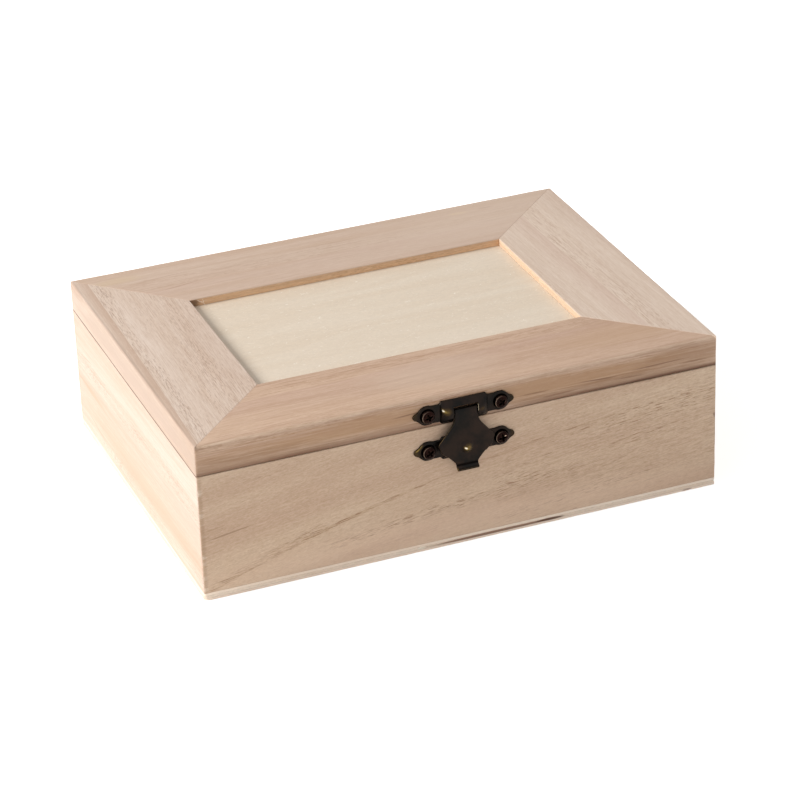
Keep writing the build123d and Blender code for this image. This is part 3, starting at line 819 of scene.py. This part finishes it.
def plyShell(foot, top, setBack, pick, seed):
    # One ply: its outline at a few heights, eased at the box's foot. Its sawn edge wavers and is chipped.
    outline, normal = rectangleOutline(setBack, bottom["corner"], bottom["spacing"])
    x, y = outline.T
    heights = np.linspace(foot, top, 7)[:, None]
    around = np.cumsum(np.hypot(*(outline - np.roll(outline, 1, axis=0)).T))
    slow, quick = bottom["waver"]
    depth = slow * (1 + wobble(around, 2.3, seed)) + quick * (1 + wobble(around, 0.9, seed + 1))
    depth = depth + edgeDrop(heights, bottom["ease"])
    front = y < -box["depth"] / 2 + 1
    for place, height, spread, deep in bottom["chips"]:
        depth = depth + deep * bell(np.hypot((x - place) / spread, (heights - height) / 0.5)) * front
    rings = np.broadcast_arrays(x - depth * normal[:, 0], y - depth * normal[:, 1], heights)
    shell = closedLoft(roundCorners(np.stack(rings, axis=-1)))
    shell["picks"][:] = pick
    return shell


shells = [plyShell(*ply, index % 2, 40 + 2 * index) for index, ply in enumerate(bottom["plies"])]
makePiece("bottom_plies", shells, [faceVeneer, coreVeneer], "box", ["bottom_panel"], sharp=50)
nodes["lid_panel"].data.materials.clear()
nodes["lid_panel"].data.materials.append(panelVeneer)

# torn wood fibres at the far left corner of the window: root, tip, sag, root radius
looseFibres = [
    ((-61.0, 37.9, 60.9), (-57.8, 36.7, 58.75), 0.15, 0.11),
    ((-58.9, 37.9, 61.0), (-58.6, 36.8, 58.75), -0.08, 0.10),
    ((-60.0, 37.9, 60.0), (-57.2, 37.5, 60.3), 0.1, 0.07),
]


def fibreShell(root, tip, sag, radius):
    # A tapering tube from root to tip that bows upwards by sag in the middle.
    share = np.linspace(0, 1, 12)[:, None, None]
    angle = np.radians(np.arange(0, 360, 60))[None, :, None]
    root, tip, up = np.array(root), np.array(tip), np.array([0, 0, 1])
    path = root + (tip - root) * share + 4 * sag * up * share * (1 - share)
    side = np.cross(tip - root, up)
    side = side / np.linalg.norm(side)
    thick = radius * (1 - 0.8 * share)
    return closedLoft(path + thick * (side * np.cos(angle) + up * np.sin(angle)))


shells = [fibreShell(*fibre) for fibre in looseFibres]
makePiece("window_fibres", shells, [faceVeneer], "lid")
print("bottom, panel and loose fibres made")

# metal


def rubbedMetalAndPaintedLight(name, metal):
    # Sheet brass or wire, blackened in a bath: brown-black and satin, olive and gold where it has rubbed,
    # near white where a highlight is painted, and near black where shade is painted and in patina-filled
    # hollows.
    material, add, inMm = startMaterial(name)
    noise = {}
    for key in ("cloud", "mottle"):
        inputs = {"Vector": inMm, "Scale": metal[key + "PerMm"], "Detail": 3.0, "Roughness": 0.6}
        noise[key] = add("TexNoise", inputs)
    wearAndPaintedLight = add("Attribute", out="Fac", attribute_name="wearAndPaintedLight")
    ragged = add("Math", (noise["mottle"], 0.35, wearAndPaintedLight), "MULTIPLY_ADD")
    # as for the wood: a value, from, to, share at from, share at to
    steps = {
        "cloud": (noise["cloud"], 0.35, 0.65, 0.0, 1.0),
        "rub": (ragged, 0.22, 0.60, 0.0, 1.0),
        "bright": (ragged, 0.60, 0.95, 0.0, 1.0),
        "bare": (ragged, 0.95, 1.30, 0.0, 1.0),
        "shadeAndPatina": (wearAndPaintedLight, -1.0, 0.0, 1.0, 0.0),
        "rough": (noise["mottle"], 0.3, 0.7, metal["rough"] - 0.05, metal["rough"] + 0.05),
    }
    share = {key: add("MapRange", values, "SMOOTHSTEP") for key, values in steps.items()}
    colour = linear(metal["dark"])
    for layer in ("cloud", "rub", "bright", "bare", "shadeAndPatina"):
        colour = add("Mix", {0: share[layer], 6: colour, 7: linear(metal[layer])}, "RGBA", out=2)
    rough = add("Math", (share["bright"], -metal["polish"], share["rough"]), "MULTIPLY_ADD")
    bump = add("Bump", {"Height": noise["mottle"], "Strength": 1.0, "Distance": metal["relief"] * mm})
    inputs = {"Base Color": colour, "Roughness": rough, "Normal": bump, "Metallic": 1.0}
    return finishMaterial(material, inputs)


antiqueBrass = rubbedMetalAndPaintedLight("blackened_brass", {
    "cloudPerMm": 0.12,
    "mottlePerMm": 1.6,
    "dark": "#1F1E1D",
    "cloud": "#2E2622",
    "rub": "#483A27",
    "bright": "#84703F",
    # near white: the painted highlight colour
    "bare": "#FFF6E2",
    # near black: painted shade, and patina in hollows
    "shadeAndPatina": "#0E0B0A",
    "rough": 0.38,
    "polish": 0.24,          # how much less rough it is where it is rubbed bright
    "relief": 0.012,
})
screwBronze = rubbedMetalAndPaintedLight("bronzed_screw", {
    "cloudPerMm": 0.5,
    "mottlePerMm": 2.2,
    "dark": "#180E0D",
    "cloud": "#261613",
    "rub": "#66564A",
    "bright": "#B5A294",
    # near white: the painted glint colour
    "bare": "#E8CDB4",
    # near black: painted shade, and patina in the cross
    "shadeAndPatina": "#0B0706",
    "rough": 0.28,
    "polish": 0.24,
    "relief": 0.012,
})


def onFace(side, x, out, z):
    # Places points by their distance out from the box's front (-1) or back (1) face.
    return np.stack(np.broadcast_arrays(x, side * (box["depth"] / 2 + out), z), axis=-1)


def rubAndHighlightSpots(x, z, spots):
    # The sum of strength * exp(-(along / reach)^2 - (across / breadth)^2) over spots that lie aslant.
    total = 0
    for middleX, middleZ, slant, reach, breadth, strength in spots:
        along = x - middleX - slant * (z - middleZ)
        across = z - middleZ + slant * (x - middleX)
        total = total + strength * bell(np.hypot(along / reach, across / breadth))
    return total


latch = {
    "axisZ": 54.7,
    "catchZ": 40.5,
    "thickness": 0.8,
    "edge": 0.35,            # pressed edges
    "reach": 19.4,           # half length
    "screwX": 14.0,
    "lobe": 3.7,             # half size of the swelling round a screw
    "lobePower": 2.4,        # 2 would make it round
    "band": 3.4,             # half height between screw and barrel
    "pad": 4.4,              # half height behind the barrel
    "padHalf": 9.2,
    # outline outside the screw: distance from it, half height
    "point": [(0.0, 3.7), (1.0, 3.62), (1.6, 3.4), (2.2, 3.0), (2.7, 2.55), (3.2, 2.05),
              (3.6, 1.7), (4.1, 1.4), (4.7, 1.15), (5.05, 0.85), (5.28, 0.5), (5.4, 0.0)],
    "rimRise": 0.22,         # pressed rim round each screw
    "rimReach": 2.95,
    "rimBreadth": 0.35,
    "dish": 0.22,            # how deep each screw is let in
    "dishReach": (2.2, 2.8),
    "shadeReach": (2.5, 3.1),      # painted shade round the screw up to here
    "tipRub": (16.8, 18.4),       # rubbed from here out
    "barrelOut": 3.2,        # wood to its crown
    "barrelSheet": 0.85,
    "barrelHalf": 9.05,
    "barrelEnd": 2.6,        # length of the rounded ends
    "endPower": 1.7,
    "hollowHalf": 7.6,
    "notchHalf": 4.65,
    "notchTop": 2.2,
    "catchPad": (8.6, 3.8),  # half sizes
    "catchRise": 0.8,
    "catchSlope": 0.7,
    "bumpOut": 0.75,         # wood to the middle of the bump's ball
    "bumpRadius": 1.3,
    # spots of painted highlight with gold halos on the barrel, and of rub on the catch: middle in x and z,
    # slant, half sizes along and across, strength
    "barrelPaintedHighlights": [(-7.0, 0.9, 0.0, 1.5, 1.3, 0.55), (-8.6, 1.5, 0.6, 1.1, 0.6, 1.1),
                    (6.3, -0.4, 0.0, 1.2, 1.0, 0.3)],
    "catchSpots": [(0.0, 0.0, 0.0, 0.9, 0.9, 0.9)],
}


def plateHalf(x):
    # Half the plate's height at x: raised middle, band, screw lobes and pointed ends.
    away = np.abs(x)
    power = latch["lobePower"]
    fromLobe = np.clip(np.abs(away - latch["screwX"]) / latch["lobe"], 0, 1)
    lobe = latch["lobe"] * np.clip(1 - fromLobe ** power, 0, 1) ** (1 / power)
    onPad = 1 - step(away, latch["padHalf"] - 0.9, latch["padHalf"] + 0.3)
    inner = np.maximum(latch["band"] + (latch["pad"] - latch["band"]) * onPad, lobe)
    outer = np.interp(away - latch["screwX"], *np.array(latch["point"]).T)
    return np.where(away < latch["screwX"], inner, outer)


def plateShell(x, middleZ, raised, hollow, rubbed, low=None):
    # A pressed plate over stations x, from its outline below, or from low, to its outline above. Its front is
    # a height over (x, z) that falls at every edge, and its back is flat or hollow.
    x = x[:, None]
    high = plateHalf(x)
    low = -high if low is None else low
    z = (low + high) / 2 + (high - low) / 2 * np.sin(np.linspace(-math.pi / 2, math.pi / 2, 61))
    slope = np.clip((plateHalf(x + 0.05) - plateHalf(x - 0.05)) / 0.1, -4, 4)
    fromEdge = np.minimum(high - z, z - low) / np.sqrt(1 + slope ** 2)
    fromEdge = np.minimum(fromEdge, latch["reach"] - np.abs(x))
    fromScrew = np.hypot(np.abs(x) - latch["screwX"], z)
    rim = bell(fromScrew - latch["rimReach"], latch["rimBreadth"]) * (np.abs(x) > latch["padHalf"])
    dish = 1 - step(fromScrew, *latch["dishReach"])
    front = latch["thickness"] + latch["rimRise"] * rim - latch["dish"] * dish
    front = np.maximum(front, raised(x, z)) - edgeDrop(fromEdge, latch["edge"])
    back = np.minimum(hollow(x, z), front - 0.2)
    wearAndPaintedLight = 0.18 * step(np.abs(x), *latch["tipRub"]) + 0.14 * bell(fromEdge, 0.2) + 0.12 * rim
    # painted shade round each screw
    wearAndPaintedLight = wearAndPaintedLight - 0.95 * (1 - step(fromScrew, *latch["shadeReach"])) + rubbed(x, z)
    rings = [onFace(-1, x, front, z + middleZ), onFace(-1, x, back, z + middleZ)[:, ::-1]]
    return closedLoft(np.concatenate(rings, axis=1), np.concatenate([wearAndPaintedLight, 0 * wearAndPaintedLight], axis=1))


def barrelHeight(z, sheet):
    # The barrel's section: an arc from the plate's lower edge over the cross bar to its upper edge, with a
    # radius that is less by the sheet for the inside.
    radius = (latch["pad"] ** 2 + latch["barrelOut"] ** 2) / (2 * latch["barrelOut"])
    return latch["barrelOut"] - radius + np.sqrt(np.clip((radius - sheet) ** 2 - z ** 2, 0, None))


def barrelRaised(x, z):
    # The barrel rises at each end along the curve (1 - (1 - share)^power)^(1/power).
    toEnd = latch["barrelHalf"] - np.abs(x)
    power = latch["endPower"]
    share = (1 - (1 - np.clip(toEnd / latch["barrelEnd"], 0, 1)) ** power) ** (1 / power)
    return np.where(toEnd > 0, latch["thickness"] + (barrelHeight(z, 0) - latch["thickness"]) * share, 0)


def barrelHollow(x, z):
    # The barrel's inside, one sheet below its front, and nothing past its ends.
    inside = np.clip(barrelHeight(z, latch["barrelSheet"]), 0, None)
    return np.where(np.abs(x) < latch["hollowHalf"], inside, 0)


def barrelRubAndPaintedLight(x, z):
    # Painted highlights with gold halos at its left end and right of the notch, a painted highlight along the
    # notch's right side, and painted shade below.
    notchGlint = bell(x - latch["notchHalf"], 0.12) * (np.abs(z - 0.6) < 1.3)
    shadeBelow = (1 - step(z, -3.8, -0.9)) * (np.abs(x) < latch["padHalf"])
    rubbed = rubAndHighlightSpots(x, z, latch["barrelPaintedHighlights"]) + 1.1 * notchGlint
    return rubbed * (x > 0.1 - latch["barrelHalf"]) - shadeBelow


def catchRaised(x, z):
    # The catch's raised middle with sloped sides, and the round bump that the tongue snaps over.
    padX, padZ = latch["catchPad"]
    toSide = np.minimum(padX - np.abs(x), padZ - np.abs(z))
    bump = latch["bumpOut"] + np.sqrt(np.clip(latch["bumpRadius"] ** 2 - x ** 2 - z ** 2, 0, None))
    return np.maximum(latch["thickness"] + latch["catchRise"] * step(toSide, 0, latch["catchSlope"]), bump)


def flatBack(x, z):
    # Nothing everywhere: the plate's back lies on the wood.
    return 0 * x * z


def catchRubAndHighlight(x, z):
    # The bump and the raised middle are rubbed, and the left point most, where its upper edge is rubbed and
    # carries a painted highlight up to near white.
    rubbed = rubAndHighlightSpots(x, z, latch["catchSpots"]) + 0.12 * (np.abs(x) < 8)
    leftPoint = 1 - step(x, -17.5, -14.5)
    upperEdgeRubAndHighlight = bell(plateHalf(x) - z - 0.3, 0.3) * (1 - step(np.abs(x + 17.4), 0.8, 1.8))
    return rubbed + 0.10 * leftPoint + 0.5 * upperEdgeRubAndHighlight


# stations from the right tip to the notch, closer where the form turns
rightX = np.concatenate([
    latch["reach"] - 0.8 * (1 - np.sin(np.linspace(math.pi / 2, 0, 12))),
    np.linspace(latch["reach"] - 1, latch["padHalf"] + 0.02, 40),
    np.linspace(latch["padHalf"] - 0.02, latch["hollowHalf"] + 0.02, 16),
    np.linspace(latch["hollowHalf"] - 0.02, latch["notchHalf"] + 0.3, 12),
    latch["notchHalf"] + np.array([0.25, 0.15, 0.07, 0])])
bridgeX = np.linspace(-latch["notchHalf"], latch["notchHalf"], 20)
barrel = (latch["axisZ"], barrelRaised, barrelHollow, barrelRubAndPaintedLight)
bridge = plateShell(bridgeX, *barrel, low=latch["notchTop"])
shells = [plateShell(-rightX, *barrel), plateShell(rightX, *barrel), bridge]
makePiece("latch_barrel_plate", shells, [antiqueBrass], "lid", ["latch_barrel"], sharp=45)
catchX = np.concatenate([-rightX, np.linspace(-4.4, 4.4, 50), rightX[::-1]])
shells = [plateShell(catchX, latch["catchZ"], catchRaised, flatBack, catchRubAndHighlight)]
makePiece("latch_catch_plate", shells, [antiqueBrass], "box", ["latch_catch"], sharp=45)

tongue = {
    "thickness": 0.8,
    "edge": 0.3,
    "lipCorner": 0.6,
    "barOut": 1.2,           # wood to the swing axis
    "barRadius": 1.0,
    "barLength": 14.4,
    "barEase": 0.4,
    "curl": 0.7,             # radius of the bend over the bar
    "drop": 20.7,            # length of the straight shank
    "lipRadius": 2.0,
    "lipTurn": 80.0,         # degrees
    # distance below the bar, half width
    "widths": [(-3.0, 4.2), (0.0, 4.25), (3.0, 4.5), (5.0, 5.4), (6.7, 6.7), (8.4, 8.1), (10.2, 9.6),
               (11.6, 10.75), (12.3, 10.85), (13.2, 10.3), (14.6, 10.0), (15.6, 9.5), (16.5, 8.3),
               (17.3, 7.1), (18.6, 5.9), (19.6, 5.0), (20.4, 4.35), (21.0, 4.2), (23.8, 4.25)],
    "domeRadius": 2.1,
    "domeRise": 1.2,
    "domeDrop": 14.2,
    "ringRadius": 2.7,       # a faint ring pressed round the dome
    "ringDepth": 0.1,
    "unevenness": 0.035,     # hammered flat, not quite even
    "spots": [(-0.85, -0.1, 0.6, 0.75, 0.4, 1.0)],      # painted highlight on the dome, given as the latch's spots, from the dome's middle
}


def tongueShell():
    # A strip of sheet along a path: curl over the bar, straight shank, finger lip. It is as wide as its drop
    # says, thin at its rounded edges, and pushed out into a dome with a faint ring pressed round it.
    curl, lipRadius, edge = tongue["curl"], tongue["lipRadius"], tongue["edge"]
    curlEnd = math.pi * curl
    lipStart = curlEnd + tongue["drop"]
    end = lipStart + math.radians(tongue["lipTurn"]) * lipRadius
    along = np.concatenate([
        np.linspace(0, curlEnd, 14)[:-1],
        np.linspace(curlEnd, lipStart, 108)[:-1],
        np.linspace(lipStart, end - edge, 16),
        end - edge * (1 - np.sin(np.linspace(0.2, math.pi / 2, 7)))])
    width = np.interp(along - curlEnd, *np.array(tongue["widths"]).T)
    smooth = [0.05, 0.12, 0.2, 0.26, 0.2, 0.12, 0.05]
    width = np.convolve(np.pad(width, 3, mode="edge"), smooth, mode="valid")
    slope = np.gradient(width, along)
    along, width, slope = along[:, None], width[:, None], slope[:, None]

    curlAngle = np.clip(along / curlEnd, 0, 1) * math.pi
    lipAngle = np.clip(along - lipStart, 0, None) / lipRadius
    down = np.clip(along - curlEnd, 0, tongue["drop"])
    out = tongue["barOut"] + curl * (1 - np.cos(curlAngle)) + lipRadius * (1 - np.cos(lipAngle))
    z = latch["axisZ"] + curl * np.sin(curlAngle) - down - lipRadius * np.sin(lipAngle)
    facing = curlAngle - lipAngle      # where the front looks: 0 is inwards, a quarter turn is up

    drop = along - curlEnd
    x = width * np.sin(np.linspace(-math.pi / 2, math.pi / 2, 121))
    fromEdge = np.minimum((width - np.abs(x)) / np.sqrt(1 + slope ** 2), end - along + 0.001)
    x = x * np.clip(1 - edgeDrop(end - along, tongue["lipCorner"]) / width, 0, 1)
    half = tongue["thickness"] / 2 * (1 - edgeDrop(fromEdge, edge) / (edge + 0.02))
    up = tongue["domeDrop"] - drop
    fromDome = np.hypot(x, up)
    ball = (tongue["domeRadius"] ** 2 + tongue["domeRise"] ** 2) / (2 * tongue["domeRise"])
    cap = np.sqrt(np.clip(ball ** 2 - fromDome ** 2, 0, None)) - (ball - tongue["domeRise"])
    raised = (cap + np.sqrt(cap ** 2 + 0.012)) / 2 * (fromDome < 2.9)      # the cap, eased into the flat
    raised = raised - tongue["ringDepth"] * bell(fromDome - tongue["ringRadius"], 0.35)
    raised = raised + tongue["unevenness"] * wobble(drop, 4.0, 51) * np.cos(x / 5)

    # a painted highlight in a rubbed gold halo on the dome, rubbed edges, painted highlights along the left
    # edge and the lip's left end, rubbed on the lip where the thumb lifts it, and painted shade in the bend
    # above the lip
    below = drop - tongue["drop"]
    wearAndPaintedLight = rubAndHighlightSpots(x, up, tongue["spots"]) + 0.58 * np.exp(-(np.hypot(x - 0.3, up + 0.5) / 1.9) ** 4)
    wearAndPaintedLight = wearAndPaintedLight + 0.12 * bell(fromEdge, 0.2) + 0.10 * step(below, 0.9, 1.5) - 1.1 * bell(below - 0.4, 0.6)
    wearAndPaintedLight = wearAndPaintedLight + 0.20 * bell(fromEdge, 0.16) * (x < -4.5) * step(drop, 2.0, 5.0)
    wearAndPaintedLight = wearAndPaintedLight + 0.35 * bell(x + 4.1, 0.2) * (lipAngle > 0)
    front, back = (onFace(-1, x, out - np.cos(facing) * lift, z + np.sin(facing) * lift)
                   for lift in (raised + half, raised - half))
    rings = np.concatenate([front, back[:, ::-1]], axis=1)
    return closedLoft(rings, np.concatenate([wearAndPaintedLight, wearAndPaintedLight[:, ::-1] * 0.3], axis=1))


def barShell():
    # Round wire along X, its ends rounded over.
    half, ease = tongue["barLength"] / 2, tongue["barEase"]
    end = half - ease * (1 - np.sin(np.linspace(0, math.pi / 2, 8)))
    x = np.concatenate([-end[::-1], np.linspace(-half + 1, half - 1, 8), end])[:, None]
    radius = tongue["barRadius"] - edgeDrop(half - np.abs(x), ease)
    angle = np.radians(np.arange(0, 360, 10))
    rings = onFace(-1, x, tongue["barOut"] + radius * np.cos(angle), latch["axisZ"] + radius * np.sin(angle))
    return closedLoft(rings, 0.1)


shells = [tongueShell(), barShell()]
makePiece("latch_tongue_sheet", shells, [antiqueBrass], "tongue", ["latch_tongue"], sharp=45)
print("latch plates and tongue made")

# the head's foot above the wood, its height, radius and rim, the shank's radius and length, and the cross's
# arm, half breadth and depth
screwKinds = {
    "latch": {"base": 0.55, "rise": 2.3, "head": 2.4, "rim": 1.3, "shank": 1.0, "length": 6.5,
              "arm": 1.6, "slot": 0.46, "deep": 1.0},
    "hinge": {"base": -0.05, "rise": 0.87, "head": 1.62, "rim": 0.12, "shank": 0.85, "length": 5.0,
              "arm": 0.95, "slot": 0.26, "deep": 0.5},
}


def screwShell(screw, side, x, z, turn, glint=0.0):
    # A turned profile of domed head, rim and shank, with a cross pressed into the head: deepest where the
    # smaller distance to its two arms is nil and the larger is less than the arm.
    head, base, length = screw["head"], screw["base"], screw["length"]
    edge = 0.25      # the stations are closer this near the head's edge
    reach = np.concatenate([[0.02], np.linspace(0.08, head - edge, 34),
                            head - edge * (1 - np.sin(np.linspace(0.15, math.pi / 2, 7)))])
    dome = np.sqrt(np.clip(1 - (reach / (head * 1.04)) ** 2, 0, 1))
    crown = base + screw["rim"] + (screw["rise"] - screw["rim"]) * dome
    onHead = np.concatenate([np.ones(len(reach)), np.zeros(5)])[:, None]
    reach = np.concatenate([reach, [head, screw["shank"], screw["shank"], 0.3, 0.02]])[:, None]
    crown = np.concatenate([crown, [base, base - 0.3, 1.5 - length, -length, -length]])[:, None]
    angle = np.radians(np.arange(0, 360, 3.75))
    across, up = reach * np.cos(angle), reach * np.sin(angle)
    spin = math.radians(turn)
    first = np.abs(across * math.cos(spin) + up * math.sin(spin))
    second = np.abs(up * math.cos(spin) - across * math.sin(spin))
    small, large = np.minimum(first, second), np.maximum(first, second)
    slot, arm = screw["slot"], screw["arm"]
    cross = (1 - step(small, slot * 0.55, slot)) * (1 - step(large, arm * 0.55, arm))
    wearAndPaintedLight = 0.32 * (1 - np.cos(angle - 0.3)) * bell(reach - head + 0.11, 0.10)      # painted highlight on the rim, most on the lit left side
    # a painted glint
    wearAndPaintedLight = wearAndPaintedLight + glint * np.exp(-((across - 1.0) ** 2 + (up - 0.6) ** 2) / 0.10)
    wearAndPaintedLight = wearAndPaintedLight + 0.15 * bell(small - slot, 0.12) * (large < arm) - 0.7 * cross
    return closedLoft(onFace(side, x + across, crown - screw["deep"] * cross * onHead, z + up), wearAndPaintedLight * onHead)


latchScrews = {      # body, height, then each screw's side, turn and painted glint
    "latch_lid_screws": ("lid", latch["axisZ"], [(-1, 18, 0.2), (1, 34, 0.6)]),
    "latch_wall_screws": ("box", latch["catchZ"], [(-1, 30, 0.2), (1, 8, 1.2)]),
}
for name, (body, z, screws) in latchScrews.items():
    shells = [screwShell(screwKinds["latch"], -1, side * latch["screwX"], z, turn, glint)
              for side, turn, glint in screws]
    makePiece(name + "_cross", shells, [screwBronze], body, [name], sharp=50)

hinges = {
    "middles": (-62.0, 62.0),
    "screwSpacing": 5.0,     # each side of a hinge's middle
    "screwHeights": {"box": 44.9, "lid": 55.4},
    "screwTurns": (12, 55, 33, 71),
    "edge": 0.12,
}
screwPlaces = [middle + side * hinges["screwSpacing"] for middle in hinges["middles"] for side in (-1, 1)]
for body, z in hinges["screwHeights"].items():
    name = "hinge_wall_screws" if body == "box" else "hinge_lid_screws"
    shells = [screwShell(screwKinds["hinge"], 1, x, z, turn)
              for x, turn in zip(screwPlaces, hinges["screwTurns"])]
    makePiece(name + "_cross", shells, [screwBronze], body, [name], sharp=50)

hingeParts = {"wall_leaf": "box", "lid_leaf": "lid", "pin": "box"}
for hand in ("left", "right"):
    for part, body in hingeParts.items():      # the solid's shape, merged and with its edges rounded
        name = "hinge_" + hand + "_" + part
        mesh = bpy.data.meshes.new(name + "_eased")
        closeMesh(mesh, nodes[name].data, 1e-6, 32)
        mesh.materials.append(antiqueBrass)
        piece = placePiece(name + "_eased", mesh, body, [name])
        bevel = piece.modifiers.new("easedEdges", "BEVEL")
        bevel.width = hinges["edge"] * mm
        bevel.segments = 2
        bevel.limit_method = "ANGLE"
        bevel.angle_limit = math.radians(40)
print("screws and hinges made")
